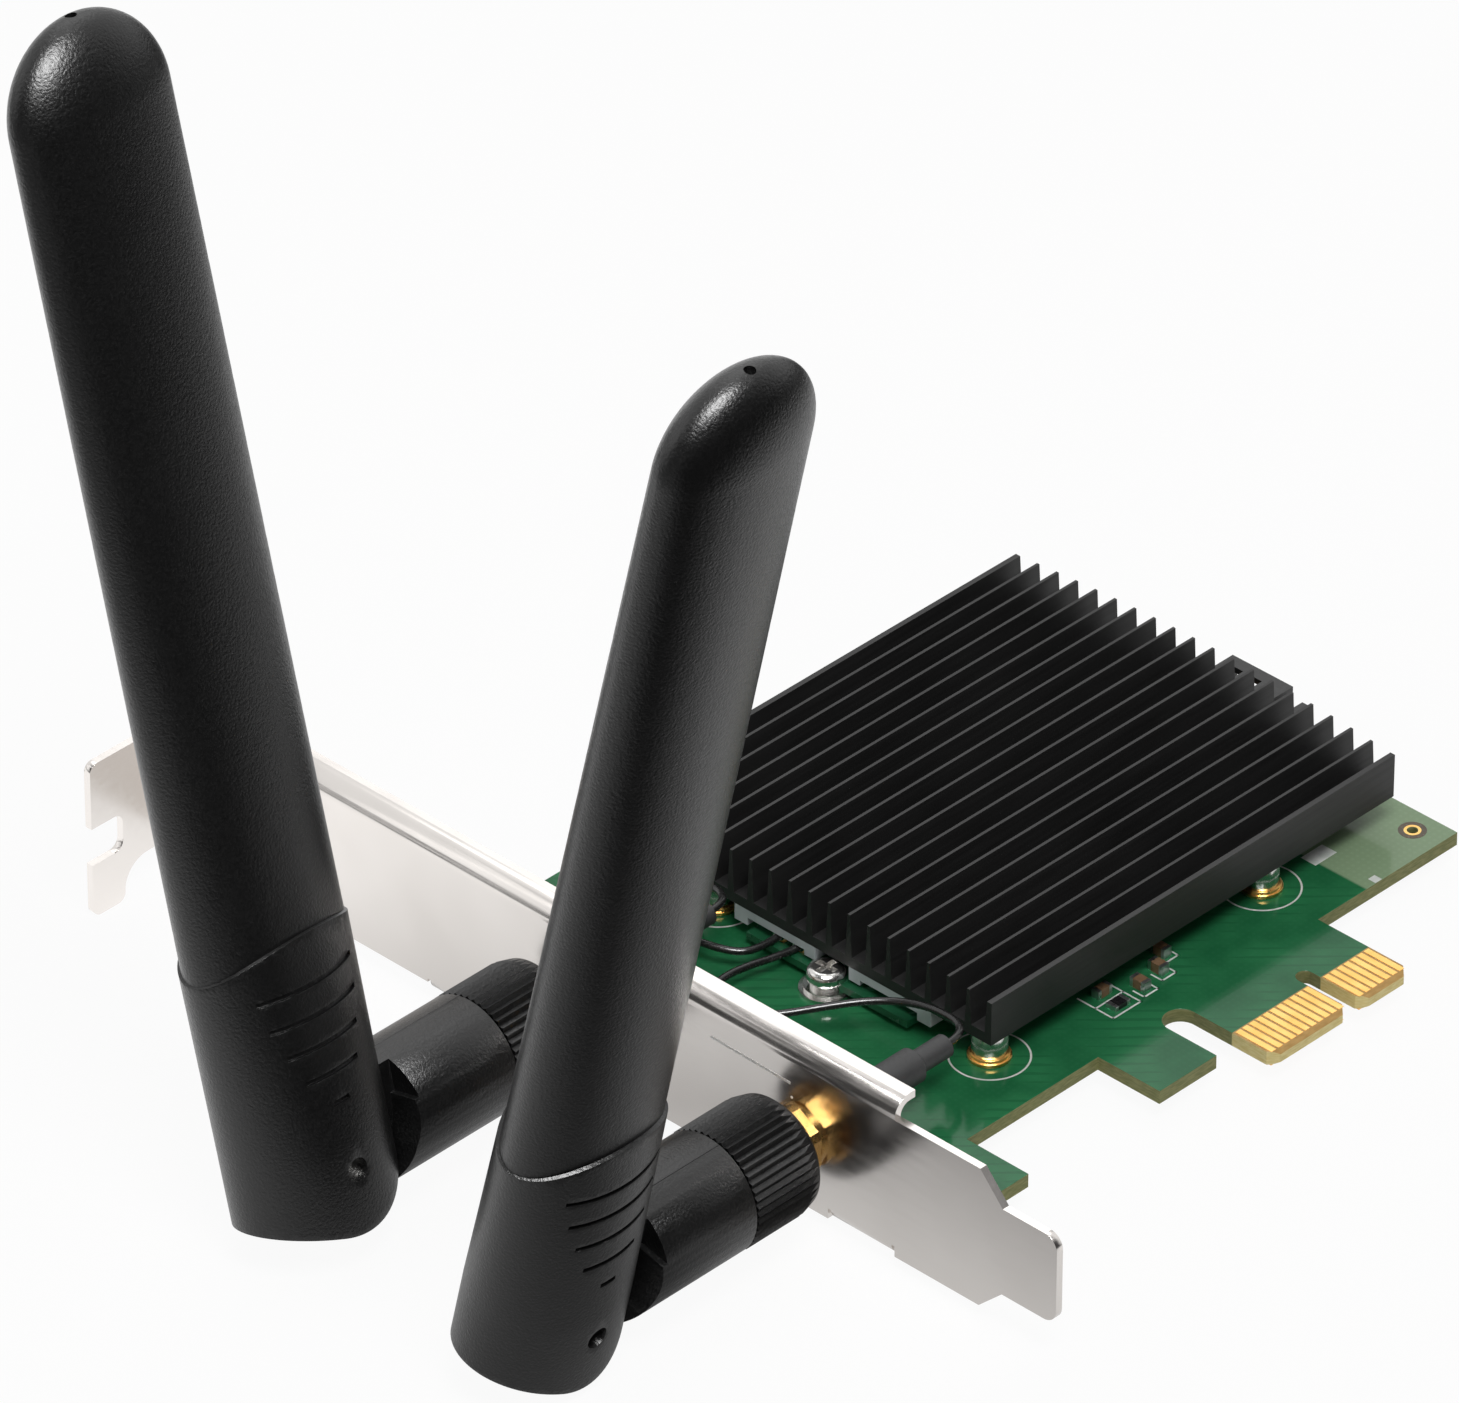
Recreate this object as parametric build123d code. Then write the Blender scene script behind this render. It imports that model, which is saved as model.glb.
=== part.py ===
from build123d import *
import math
import os

# Circuit board. The origin is the key notch's centre on the finger edge, at the component face.
# X runs from the bracket into the card, Y from the fingers towards the screw tab,
# Z out of the component face.
board_thickness = 1.57
far_margin = 3.5
board_height = 60.4
tongue_width = 20.3
tongue_length = 12.35
key_offset = 12.15
key_width = 1.9
key_depth = 7.75
slot_width = 3.8
slot_overrun = 0.2
guide_tab_width = 8.35
foot_drop = 8.2
foot_reach = 16.5
finger_chamfer = 1.0
bevel_length = 0.6
bevel_depth = 0.3
corner_hole_radius = 0.55
corner_hole_inset_x = 2.9
corner_hole_inset_y = 3.5

# Edge contacts
contact_pitch = 1.0
contact_width = 0.7
contact_start = 5.4
contact_margin = 0.65
contact_key_margin = 0.55
contact_foil = 0.05
contacts_before_key = 11
contacts_after_key = 7

# Mounting bracket
bracket_to_key = 59.7
sheet = 0.86
tail_reach = 27.04
tail_length = 7.08
tail_low = 0.45
tail_high = 10.64
tail_corner = 1.6
shoulder_length = 3.0
shoulder_high = 13.95
plate_low = -1.55
lip_low = -2.4
lip_end = 13.0
bracket_length = 120.02
flange_start = -5.65
flange_margin = 6.0
flange_radius = 2.1
flange_reach = 2.9
tab_depth = 13.3
tab_low = 0.6
tab_high = 14.65
tab_corner = 1.0
finger_low = -3.8
finger_width = 4.4
finger_fillet = 3.2
notch_width = 4.42
notch_depth = 4.3
notch_height = 4.75
notch_corner = 1.2
bend_radius = 0.4
ear_width = 8.1
ear_reach = 9.6
ear_relief = 0.4
ear_hole_reach = 5.6
lower_ear = -1.37
upper_ear_inset = 6.8
board_gap = 0.1

# Bracket screws
screw_radius = 1.4
screw_clearance = 0.05
screw_head_radius = 2.7
screw_head_height = 1.9
screw_length = 5.0
drive_width = 0.7
drive_depth = 0.8

# Heatsink on four standoffs
sink_near = 25.9
sink_low = 5.64
sink_length = 59.5
sink_width = 52.1
sink_base = 1.25
sink_edge_height = 5.05
sink_crown = 1.35
fin_count = 20
fin_thickness = 0.9
fin_tip = 0.34
collar_radius = 2.25
collar_height = 0.75
collar_rim = 0.4
collar_step = 0.2
standoff_radius = 1.88
standoff_height = 2.7
standoff_bore = 1.15
standoff_inset = 2.25
standoff_span_x = 39.9
standoff_span_y = 37.2
sink_screw_radius = 1.05
sink_screw_head = 2.0
sink_screw_head_height = 1.3
sink_screw_bite = 0.9
sink_screw_room = 0.1

# Radio module and its socket
module_x = 25.1
module_y = 16.2
module_length = 30.0
module_width = 22.0
module_board_thickness = 0.8
module_lift = 0.7
module_notch = 1.75
can_setback = 4.0
can_length = 20.5
can_margin = 1.0
can_height = 1.0
socket_grip = 4.0
socket_length = 8.2
socket_height = 2.6
socket_margin = 0.6
socket_play = 0.05
module_standoff_radius = 2.35
module_standoff_foot = 2.8
module_standoff_foot_height = 0.35
module_boss_play = 0.05
module_screw_radius = 0.95
module_screw_head = 2.05
module_screw_head_height = 1.3
receptacle_reach = 2.1
receptacle_radius = 0.95
receptacle_height = 0.3
receptacle_low = 16.0
receptacle_high = 18.7
plug_tail = 0.15
plug_height = 0.65
plug_tail_width = 1.2

# Thermal pads
lower_pad_gap = 2.3
upper_pad_gap = 2.3
pad_outer = 2.4
pad_length = 22.0
pad_foot = 0.9
pad_foot_width = 1.8
pad_toe = 0.6
pad_toe_width = 1.5
pad_toe_length = 2.6

# Lead header on the far edge
header_setback = 2.9
header_length = 6.2
header_start = 23.4
header_width = 10.3
header_height = 4.05
header_wall = 0.7
header_back = 1.6
header_pitch = 1.5
header_pins = 5
header_pin = 0.5
header_pin_reach = 5.0
header_window = 1.5
header_step = 1.3

# Chip parts beside the heatsink
chip_spots = ((43.4, 6.9, 2.0, 1.0, 1.0), (47.0, 5.0, 1.1, 1.9, 1.1),
              (50.3, 5.6, 1.1, 1.9, 1.1), (52.6, 7.4, 1.1, 1.9, 1.1))
resistor_spot = (43.2, 4.5, 2.2, 1.3, 0.55)
terminal_share = 0.22

# Aerial jacks
jack_low = 7.02
jack_spacing = 32.25
jack_height = 5.57
barrel_radius = 3.1
barrel_reach = 8.2
barrel_bore = 2.3
bracket_hole_play = 0.12
jack_flange_flats = 8.0
jack_flange_thickness = 2.0
jack_rear_radius = 2.6
jack_rear_length = 3.7
crimp_radius = 1.5
crimp_length = 3.5
insulator_front = 2.0
insulator_length = 6.5
jack_pin_radius = 0.45
jack_pin_front = 6.2
press_play = 0.02
washer_radius = 3.5
washer_thickness = 0.4
jack_nut_flats = 6.9
jack_nut_thickness = 1.9
boot_radius = 1.9
boot_length = 9.5
boot_tip_radius = 1.25
boot_tip_length = 4.0
boot_taper = 0.6
coax_radius = 0.405
coax_sink = 0.12

# Aerials, each in a frame at its hinge pin: X towards the bracket, Z along the blade
hinge_to_face = 35.2
splay_low = 12.9
splay_high = 13.7
coupling_gap = 2.9
coupling_radius = 6.65
coupling_length = 9.5
coupling_nose = 2.2
coupling_nose_drop = 1.1
knurl_count = 48
knurl_depth = 0.35
coupling_wall = 1.4
coupling_play = 0.06
turning_gap = 0.3
insert_radius = 4.2
insert_length = 6.0
stem_radius = 6.6
neck_radius = 3.0
neck_collar = 3.8
neck_collar_length = 0.9
contact_radius = 0.95
contact_reach = 5.2
tongue_thickness = 5.0
knuckle_radius = 6.5
knuckle_side_play = 0.25
knuckle_swing_play = 0.45
pin_radius = 1.2
pin_play = 0.05
pin_recess = 1.2
base_half_width = 9.2
base_half_depth = 7.3
base_top_half_width = 9.9
base_top_half_depth = 6.1
heel_radius = 9.4
heel_lift = 2.7
heel_overrun = 0.05
toe_drop = 4.4
stem_clear = 0.35
stem_sweep = 8.7
seam_top = 25.3
seam_radius = 20.0
seam_spare = 1.0
seam_step = 0.3
blade_reach = 120.7
blade_root_height = 18.0
blade_tip_half_depth = 4.5
tip_hole_radius = 0.6
tip_hole_depth = 1.2
groove_width = 0.55
groove_depth = 0.35
groove_first = 20.2
groove_pitch = 3.15
groove_reaches = (6.3, 5.7, 4.65, 3.45, 1.0)

# Places worked out from the sizes above
face_x = -bracket_to_key
inner_x = face_x + sheet
lower_y = tongue_length
tab_y = lower_y - tail_reach + bracket_length
board_left = inner_x + bend_radius + board_gap
board_top = lower_y + board_height
tongue_left = -key_offset
ear_low = -board_thickness - sheet
ear_places = (lower_y + lower_ear, board_top - upper_ear_inset)
sink_z = collar_height + standoff_height
sink_x = face_x + sink_near
sink_y = lower_y + sink_low
board_right = sink_x + sink_length + far_margin
standoff_x = (sink_x + standoff_inset, sink_x + standoff_inset + standoff_span_x)
standoff_y = (sink_y + standoff_inset, sink_y + standoff_inset + standoff_span_y)
module_left = face_x + module_x
module_low = lower_y + module_y
module_mid = module_low + module_width / 2
module_top = module_lift + module_board_thickness
jack_places = {"lower": lower_y + jack_low, "upper": lower_y + jack_low + jack_spacing}
aerial_turn = {"lower": splay_low, "upper": -splay_high}
hinge_x = face_x - hinge_to_face
boot_start = inner_x + jack_flange_thickness + jack_rear_length
boot_end = boot_start + boot_length + boot_taper + boot_tip_length
coax_height = module_top + receptacle_height + plug_height / 2 - coax_sink
blade_half_width = base_top_half_width - seam_step
heel_x = base_half_width - heel_radius + heel_overrun
stem_end = hinge_to_face - coupling_gap - coupling_length - turning_gap


def block(x0, x1, y0, y1, z0, z1):
    """Box between two corners."""
    return Pos((x0 + x1) / 2, (y0 + y1) / 2, (z0 + z1) / 2) * Box(x1 - x0, y1 - y0, z1 - z0)


def post(x, y, z0, z1, radius):
    """Upright cylinder between two heights."""
    return Pos(x, y, (z0 + z1) / 2) * Cylinder(radius, z1 - z0)


def rod(x0, x1, y, z, radius):
    """Cylinder along X between two places."""
    return Pos((x0 + x1) / 2, y, z) * (Rot(0, 90, 0) * Cylinder(radius, x1 - x0))


def hex_along_x(x0, x1, y, z, flats):
    """Hexagonal prism along X with the given width across flats."""
    outline = RegularPolygon(flats / 2, 6, major_radius=False)
    return Pos(x0, y, z) * (Rot(0, 90, 0) * extrude(outline, x1 - x0))


def turned(points, y=0.0, z=0.0):
    """Solid of revolution about an X axis from (place, radius) points."""
    start, end = points[0][0], points[-1][0]
    outline = Polyline((start, 0), *points, (end, 0), close=True)
    return Pos(0, y, z) * revolve(make_face(outline), Axis.X)


def open_slot(x, width, end_y, mouth_y):
    """Outline of a slot along Y with a round inner end."""
    radius = width / 2
    straight = Pos(x, (end_y - radius + mouth_y) / 2) * Rectangle(width, end_y - radius - mouth_y)
    return straight + Pos(x, end_y - radius) * Circle(radius)


def upright_face(outline, y):
    """An (x, z) outline drawn on the plane at y whose extrusion runs towards -Y."""
    return Plane((0, y, 0), x_dir=(1, 0, 0), z_dir=(0, -1, 0)) * outline


def circuit_board():
    foot_y = lower_y - foot_drop
    tongue_right = tongue_left + tongue_width
    guide_left = tongue_left - slot_width - guide_tab_width
    outline = make_face(Polyline(
        (board_left, foot_y), (face_x + foot_reach, foot_y), (face_x + foot_reach, lower_y),
        (guide_left, lower_y), (guide_left, foot_y), (tongue_left, foot_y), (tongue_left, 0),
        (tongue_right, 0), (tongue_right, lower_y), (board_right, lower_y),
        (board_right, board_top), (board_left, board_top), close=True))
    outline -= open_slot(tongue_left - slot_width / 2, slot_width, lower_y + slot_overrun, 0)
    outline -= open_slot(0, key_width, key_depth, -key_width)
    board = extrude(outline, -board_thickness)
    board = chamfer(board.edges().filter_by(Axis.Z).group_by(Axis.Y)[0], finger_chamfer)
    bevel = make_face(Polyline((0, 0), (bevel_length, 0), (0, bevel_depth), close=True))
    for side in (1, -1):
        wedge = Plane((tongue_left, 0, 0), x_dir=(0, 1, 0), z_dir=(1, 0, 0)) * bevel
        solid = extrude(wedge, tongue_width)
        if side > 0:
            solid = Pos(0, 0, -board_thickness) * solid
        else:
            solid = mirror(solid, Plane.XY)
        board -= solid
    for x in standoff_x:
        for y in standoff_y:
            board -= post(x, y, -board_thickness, 0, standoff_bore)
    for y in ear_places:
        board -= post(face_x + ear_hole_reach, y, -board_thickness, 0, screw_radius + screw_clearance)
    board -= post(board_right - corner_hole_inset_x, lower_y + corner_hole_inset_y,
                  -board_thickness, 0, corner_hole_radius)
    return board


def edge_contacts():
    first_after = key_width / 2 + contact_key_margin
    places = [tongue_left + contact_margin + i * contact_pitch for i in range(contacts_before_key)]
    places += [first_after + i * contact_pitch for i in range(contacts_after_key)]
    pads = []
    for x in places:
        for low in (0, -board_thickness - contact_foil):
            pads.append(block(x - contact_width / 2, x + contact_width / 2, bevel_length, contact_start,
                              low, low + contact_foil))
    return Compound(pads)


def io_bracket():
    tail_end = lower_y - tail_reach
    tail_root = tail_end + tail_length
    shoulder = tail_root + shoulder_length
    plate_top = tab_y - sheet - bend_radius
    flange_end = plate_top - flange_margin
    plate = make_face(Polyline(
        (tail_end, tail_low), (tail_root, tail_low), (shoulder, lip_low), (lower_y + lip_end, lip_low),
        (lower_y + lip_end + plate_low - lip_low, plate_low), (flange_end, plate_low), (plate_top, tab_low),
        (plate_top, tab_high), (flange_end, tab_high), (flange_end, shoulder_high),
        (shoulder, shoulder_high), (tail_root, tail_high), (tail_end, tail_high), close=True))
    plate = fillet(plate.vertices().group_by(Axis.X)[0], tail_corner)
    face = Plane((face_x, 0, 0), x_dir=(0, 1, 0), z_dir=(1, 0, 0))
    sheet_solid = extrude(face * plate, sheet)
    bend_top = ear_low + sheet + bend_radius
    for y in ear_places:
        half = ear_width / 2 + ear_relief
        sheet_solid -= block(face_x, inner_x, y - half, y + half, lip_low, bend_top)
    for y in jack_places.values():
        sheet_solid -= rod(face_x, inner_x, y, jack_height, barrel_radius + bracket_hole_play)
    sheet_solid += stiffening_flange(lower_y + flange_start, flange_end)
    for y in ear_places:
        sheet_solid += board_ear(y, bend_top)
    sheet_solid += screw_tab()
    return sheet_solid


def stiffening_flange(start, end):
    """Inward rolled edge along the component side of the plate."""
    inner = flange_radius - sheet
    top = shoulder_high + flange_radius
    centre = (face_x + flange_radius, shoulder_high)
    outer_arc = CenterArc(centre, flange_radius, 90, 90)
    inner_arc = CenterArc(centre, inner, 90, 90)
    lines = [
        Line((face_x, shoulder_high), (inner_x, shoulder_high)),
        Line((centre[0], top), (face_x + flange_reach, top)),
        Line((face_x + flange_reach, top), (face_x + flange_reach, top - sheet)),
        Line((face_x + flange_reach, top - sheet), (centre[0], top - sheet)),
    ]
    section = make_face(Curve() + [outer_arc, inner_arc] + lines)
    return extrude(upright_face(section, end), end - start)


def board_ear(y, bend_top):
    """Ear folded inwards under the board, with its screw hole."""
    outer = bend_radius + sheet
    centre = (inner_x + bend_radius, bend_top)
    tip = face_x + ear_reach
    lines = [
        CenterArc(centre, outer, 180, 90),
        CenterArc(centre, bend_radius, 180, 90),
        Line((face_x, bend_top), (inner_x, bend_top)),
        Line((centre[0], ear_low), (tip, ear_low)),
        Line((tip, ear_low), (tip, ear_low + sheet)),
        Line((tip, ear_low + sheet), (centre[0], ear_low + sheet)),
    ]
    section = make_face(Curve() + lines)
    ear = extrude(upright_face(section, y + ear_width / 2), ear_width)
    return ear - post(face_x + ear_hole_reach, y, ear_low, ear_low + sheet, screw_radius + screw_clearance)


def screw_tab():
    """Tab folded outwards at the top of the plate, with its open screw notch."""
    bend_y = tab_y - sheet - bend_radius
    centre = (face_x - bend_radius, bend_y)
    lines = [
        CenterArc(centre, bend_radius, 0, 90),
        CenterArc(centre, bend_radius + sheet, 0, 90),
        Line((face_x, bend_y), (inner_x, bend_y)),
        Line((centre[0], bend_y + bend_radius), (centre[0], tab_y)),
    ]
    bend = Pos(0, 0, tab_low) * extrude(make_face(Curve() + lines), tab_high - tab_low)
    outer = face_x - tab_depth
    root = centre[0]
    finger = outer + finger_width
    outline = make_face(Polyline(
        (root, tab_low), (root, tab_high), (outer, tab_high), (outer, finger_low),
        (finger, finger_low), (finger, tab_low), close=True))
    outline = fillet(outline.vertices().sort_by_distance((finger, tab_low))[0], finger_fillet)
    for corner in ((outer, tab_high), (outer, finger_low), (finger, finger_low)):
        outline = fillet(outline.vertices().sort_by_distance(corner)[0], tab_corner)
    notch = Pos(outer + notch_depth / 2, notch_height) * Rectangle(notch_depth, notch_width)
    notch = fillet(notch.vertices().group_by(Axis.X)[-1], notch_corner)
    outline -= notch
    return bend + extrude(upright_face(outline, tab_y), sheet)


def cross_head(x, y, top, radius, height, shank_radius, bottom):
    """Pan-head screw pointing down, with a cross recess in its head."""
    head = fillet(post(x, y, top - height, top, radius).edges().group_by(Axis.Z)[-1], height * 0.6)
    screw = head + post(x, y, bottom, top - height, shank_radius)
    reach = radius * 0.6
    for angle in (0, 90):
        bar = Pos(x, y, top - drive_depth / 2) * (Rot(0, 0, angle) * Box(2 * reach, drive_width, drive_depth))
        screw -= bar
    return screw


def bracket_screws():
    return Compound([
        cross_head(face_x + ear_hole_reach, y, screw_head_height, screw_head_radius, screw_head_height,
                   screw_radius, screw_head_height - screw_head_height - screw_length + board_thickness)
        for y in ear_places])


def crown_height(y):
    """Height of the fin tops above the heatsink's underside, on a shallow arch."""
    middle = sink_width / 2
    rise = 1 - ((y - middle) / middle) ** 2
    return sink_edge_height + sink_crown * rise


def heatsink():
    section = Pos(sink_width / 2, sink_base / 2) * Rectangle(sink_width, sink_base)
    pitch = (sink_width - fin_thickness) / (fin_count - 1)
    lean = (fin_thickness - fin_tip) / 2
    for i in range(fin_count):
        left = i * pitch
        right = left + fin_thickness
        top = crown_height((left + right) / 2)
        top_left = left if i == 0 else left + lean
        top_right = right if i == fin_count - 1 else right - lean
        section += make_face(Polyline((left, 0), (left, sink_base), (top_left, top), (top_right, top),
                                      (right, sink_base), (right, 0), close=True))
    plane = Plane((sink_x, sink_y, sink_z), x_dir=(0, 1, 0), z_dir=(1, 0, 0))
    body = extrude(plane * section, sink_length)
    bore_end = sink_z + sink_screw_bite + sink_screw_room
    for x in standoff_x:
        for y in standoff_y:
            body -= post(x, y, sink_z, bore_end, sink_screw_radius + screw_clearance)
    return body


def standoff_collars():
    collars = []
    for x in standoff_x:
        for y in standoff_y:
            collar = post(x, y, 0, collar_rim, collar_radius)
            collar += post(x, y, collar_rim, collar_height, collar_radius - collar_step)
            collars.append(collar - post(x, y, 0, collar_height, standoff_bore))
    return Compound(collars)


def heatsink_standoffs():
    return Compound([
        post(x, y, collar_height, sink_z, standoff_radius) - post(x, y, collar_height, sink_z, standoff_bore)
        for x in standoff_x for y in standoff_y])


def heatsink_screws():
    screws = []
    for x in standoff_x:
        for y in standoff_y:
            screw = cross_head(0, 0, sink_screw_head_height, sink_screw_head, sink_screw_head_height,
                               sink_screw_radius, -board_thickness - sink_z - sink_screw_bite)
            screws.append(Pos(x, y, -board_thickness) * (Rot(180, 0, 0) * screw))
    return Compound(screws)


def module_board():
    right = module_left + module_length
    board = block(module_left, right, module_low, module_low + module_width, module_lift, module_top)
    return board - post(module_left, module_mid, module_lift, module_top, module_notch)


def module_shield():
    left = module_left + can_setback
    can = block(left, left + can_length, module_low + can_margin, module_low + module_width - can_margin,
                module_top, module_top + can_height)
    return chamfer(can.edges().group_by(Axis.Z)[-1], can_height * 0.15)


def module_socket():
    mouth = module_left + module_length - socket_grip
    body = block(mouth, mouth + socket_length, module_low - socket_margin,
                 module_low + module_width + socket_margin, 0, socket_height)
    play = socket_play
    return body - block(mouth, mouth + socket_grip + play,
                        module_low - play, module_low + module_width + play,
                        module_lift - play, module_top + play)


def module_standoff():
    x, y = module_left, module_mid
    body = post(x, y, 0, module_lift, module_standoff_radius)
    body += post(x, y, 0, module_standoff_foot_height, module_standoff_foot)
    body += post(x, y, module_lift, module_top, module_notch - module_boss_play)
    return body - post(x, y, 0, module_top, module_screw_radius + press_play)


def module_screw():
    top = module_top + module_screw_head_height
    return cross_head(module_left, module_mid, top, module_screw_head, module_screw_head_height,
                      module_screw_radius, 0)


def receptacle_place(name):
    offset = receptacle_low if name == "lower" else receptacle_high
    return module_left + receptacle_reach, module_low + offset


def module_receptacles():
    seats = []
    for name in jack_places:
        x, y = receptacle_place(name)
        seats.append(post(x, y, module_top, module_top + receptacle_height, receptacle_radius))
    return Compound(seats)


def thermal_pad(side):
    """Soft pad between the module and the heatsink, with a foot past the module's edge."""
    inner = module_mid + side * (lower_pad_gap if side < 0 else upper_pad_gap)
    outer = module_mid + side * (module_width / 2 + pad_outer)
    bottom = module_top + can_height
    left = sink_x
    pad = block(left, left + pad_length, min(inner, outer), max(inner, outer), bottom, sink_z)
    foot = outer - side * pad_foot_width
    pad += block(left, left + pad_length, min(foot, outer), max(foot, outer), bottom - pad_foot, sink_z)
    toe = inner + side * pad_toe_width
    toe_end = left + pad_toe_length
    return pad + block(left, toe_end, min(inner, toe), max(inner, toe), bottom - pad_toe, sink_z)


def lead_header():
    left = board_right - header_setback
    right = left + header_length
    low = lower_y + header_start
    high = low + header_width
    shell = block(left, right, low, high, 0, header_height)
    shell -= block(left + header_back, right, low + header_wall, high - header_wall,
                   header_wall, header_height - header_wall)
    step_end = low + header_wall + header_step
    shell -= block(left + header_back, right, low, step_end, header_height - header_step, header_height)
    for share in (0.55, 0.8):
        centre = low + share * header_width
        x = right - header_window * 1.5
        shell -= block(x - header_window / 2, x + header_window / 2, centre - header_window / 2,
                       centre + header_window / 2, header_height - header_wall, header_height)
    for y in header_pin_places():
        shell -= header_pin_bar(y)
    return shell


def header_pin_places():
    middle = lower_y + header_start + header_width / 2
    return [middle + (i - (header_pins - 1) / 2) * header_pitch for i in range(header_pins)]


def header_pin_bar(y):
    left = board_right - header_setback
    half = header_pin / 2
    middle = header_height / 2
    return block(left, left + header_pin_reach, y - half, y + half, middle - half, middle + half)


def header_pins_group():
    left = board_right - header_setback
    half = header_pin / 2
    pins = []
    for y in header_pin_places():
        tail = block(left - header_pin, left, y - half, y + half, 0, header_height / 2 + half)
        pins.append(header_pin_bar(y) + tail)
    return Compound(pins)


def chip_pieces(spot, part):
    """A chip's body, or its two terminals, lying along its longer side."""
    x, y, length, width, height = spot
    x += face_x
    y += lower_y
    ends = []
    if length > width:
        cap = length * terminal_share
        body = block(x - length / 2 + cap, x + length / 2 - cap, y - width / 2, y + width / 2, 0, height)
        for start in (x - length / 2, x + length / 2 - cap):
            ends.append(block(start, start + cap, y - width / 2, y + width / 2, 0, height))
    else:
        cap = width * terminal_share
        body = block(x - length / 2, x + length / 2, y - width / 2 + cap, y + width / 2 - cap, 0, height)
        for start in (y - width / 2, y + width / 2 - cap):
            ends.append(block(x - length / 2, x + length / 2, start, start + cap, 0, height))
    return [body] if part == "body" else ends


def chip_terminals():
    ends = []
    for spot in chip_spots + (resistor_spot,):
        ends += chip_pieces(spot, "ends")
    return Compound(ends)


def jack_body(y):
    rear = inner_x + jack_flange_thickness
    end = rear + jack_rear_length
    body = turned([(face_x - barrel_reach, barrel_radius), (rear, barrel_radius), (rear, jack_rear_radius),
                   (end, jack_rear_radius), (end, crimp_radius), (end + crimp_length, crimp_radius)],
                  y, jack_height)
    body += hex_along_x(inner_x, rear, y, jack_height, jack_flange_flats)
    bore_end = face_x - insulator_front + insulator_length
    return body - rod(face_x - barrel_reach, bore_end, y, jack_height, barrel_bore)


def jack_insulator(y):
    front = face_x - insulator_front
    disc = rod(front, front + insulator_length, y, jack_height, barrel_bore - press_play)
    return disc - rod(front, front + insulator_length, y, jack_height, jack_pin_radius + press_play)


def jack_pin(y):
    end = face_x - insulator_front + insulator_length
    return rod(face_x - jack_pin_front, end, y, jack_height, jack_pin_radius)


def jack_washer(y):
    ring = rod(face_x - washer_thickness, face_x, y, jack_height, washer_radius)
    return ring - rod(face_x - washer_thickness, face_x, y, jack_height, barrel_radius + press_play)


def jack_nut(y):
    start = face_x - washer_thickness - jack_nut_thickness
    end = face_x - washer_thickness
    nut = hex_along_x(start, end, y, jack_height, jack_nut_flats)
    nut &= rod(start, end, y, jack_height, jack_nut_flats / 2 * 1.09)
    return nut - rod(start, end, y, jack_height, barrel_radius + press_play)


def cable_boot(y):
    shoulder = boot_start + boot_length
    boot = turned([(boot_start, boot_radius), (shoulder, boot_radius),
                   (shoulder + boot_taper, boot_tip_radius), (boot_end, boot_tip_radius)], y, jack_height)
    return boot - rod(boot_start, boot_start + crimp_length, y, jack_height, crimp_radius + press_play)


def coax_route(name):
    """Route of a pigtail: steps from its boot, then steps back from its plug."""
    x, y = receptacle_place(name)
    end = Vector(x - receptacle_radius - plug_tail, y, coax_height)
    start = Vector(boot_end, jack_places[name], jack_height)
    if name == "lower":
        leaving = [(2.1, 0, 0), (3.75, 1.4, -0.07), (4.25, 3.9, -0.35), (4.25, 6.6, -0.7), (3.55, 9.3, -1.15),
                   (1.65, 12.0, -1.45), (-1.45, 14.3, -1.65), (-5.25, 16.9, -1.95), (-8.25, 20.0, -2.35)]
        arriving = [(-13.95, -1.8, 0.8), (-11.9, 0.8, 0.4), (-8.5, 1.75, 0.12),
                    (-5.1, 1.2, 0.04), (-2.3, 0.3, 0.01)]
    else:
        leaving = [(1.95, 0, 0), (3.65, 1.4, -0.2), (4.25, 4.1, -0.6), (3.78, 6.76, -1.1), (1.85, 8.4, -1.7),
                   (-0.65, 8.2, -2.2), (-2.25, 6.3, -2.6), (-2.0, 3.7, -2.95)]
        arriving = [(-6.5, 5.4, 0.35), (-5.7, 2.8, 0.2), (-4.55, 0.7, 0.08), (-2.4, -0.15, 0.01)]
    points = [start] + [start + Vector(*step) for step in leaving]
    return points + [end + Vector(*step) for step in arriving] + [end]


def bend_radii(points):
    """Largest even radius at each inner point: 0.45 of the shorter run over the tangent of half the turn."""
    radii = []
    for before, here, after in zip(points, points[1:], points[2:]):
        first = here - before
        second = after - here
        half_turn = math.radians(first.get_angle(second)) / 2
        radii.append(0.45 * min(first.length, second.length) / math.tan(half_turn))
    return radii


def pigtail(name):
    points = coax_route(name)
    radii = bend_radii(points)
    path = FilletPolyline(*points, radius=radii)
    print(name, "pigtail length", round(path.length, 2), "radii", [round(r, 1) for r in radii])
    section = Plane(origin=path @ 0, z_dir=path % 0) * Circle(coax_radius)
    tube = sweep(section, path)
    print(name, "pigtail volume", round(tube.volume, 3), "section times length",
          round(math.pi * coax_radius ** 2 * path.length, 3))
    return tube


def coax_plug(name):
    x, y = receptacle_place(name)
    low = module_top + receptacle_height
    cap = post(x, y, low, low + plug_height, receptacle_radius)
    tail_x = coax_route(name)[-1].X
    half = plug_tail_width / 2
    return cap + block(tail_x, x, y - half, y + half, low, low + plug_height)


def aerial_place(name):
    """Frame of an aerial: at its hinge pin, turned about the jack's axis."""
    return Pos(hinge_x, jack_places[name], jack_height) * Rot(aerial_turn[name], 0, 0)


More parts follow.
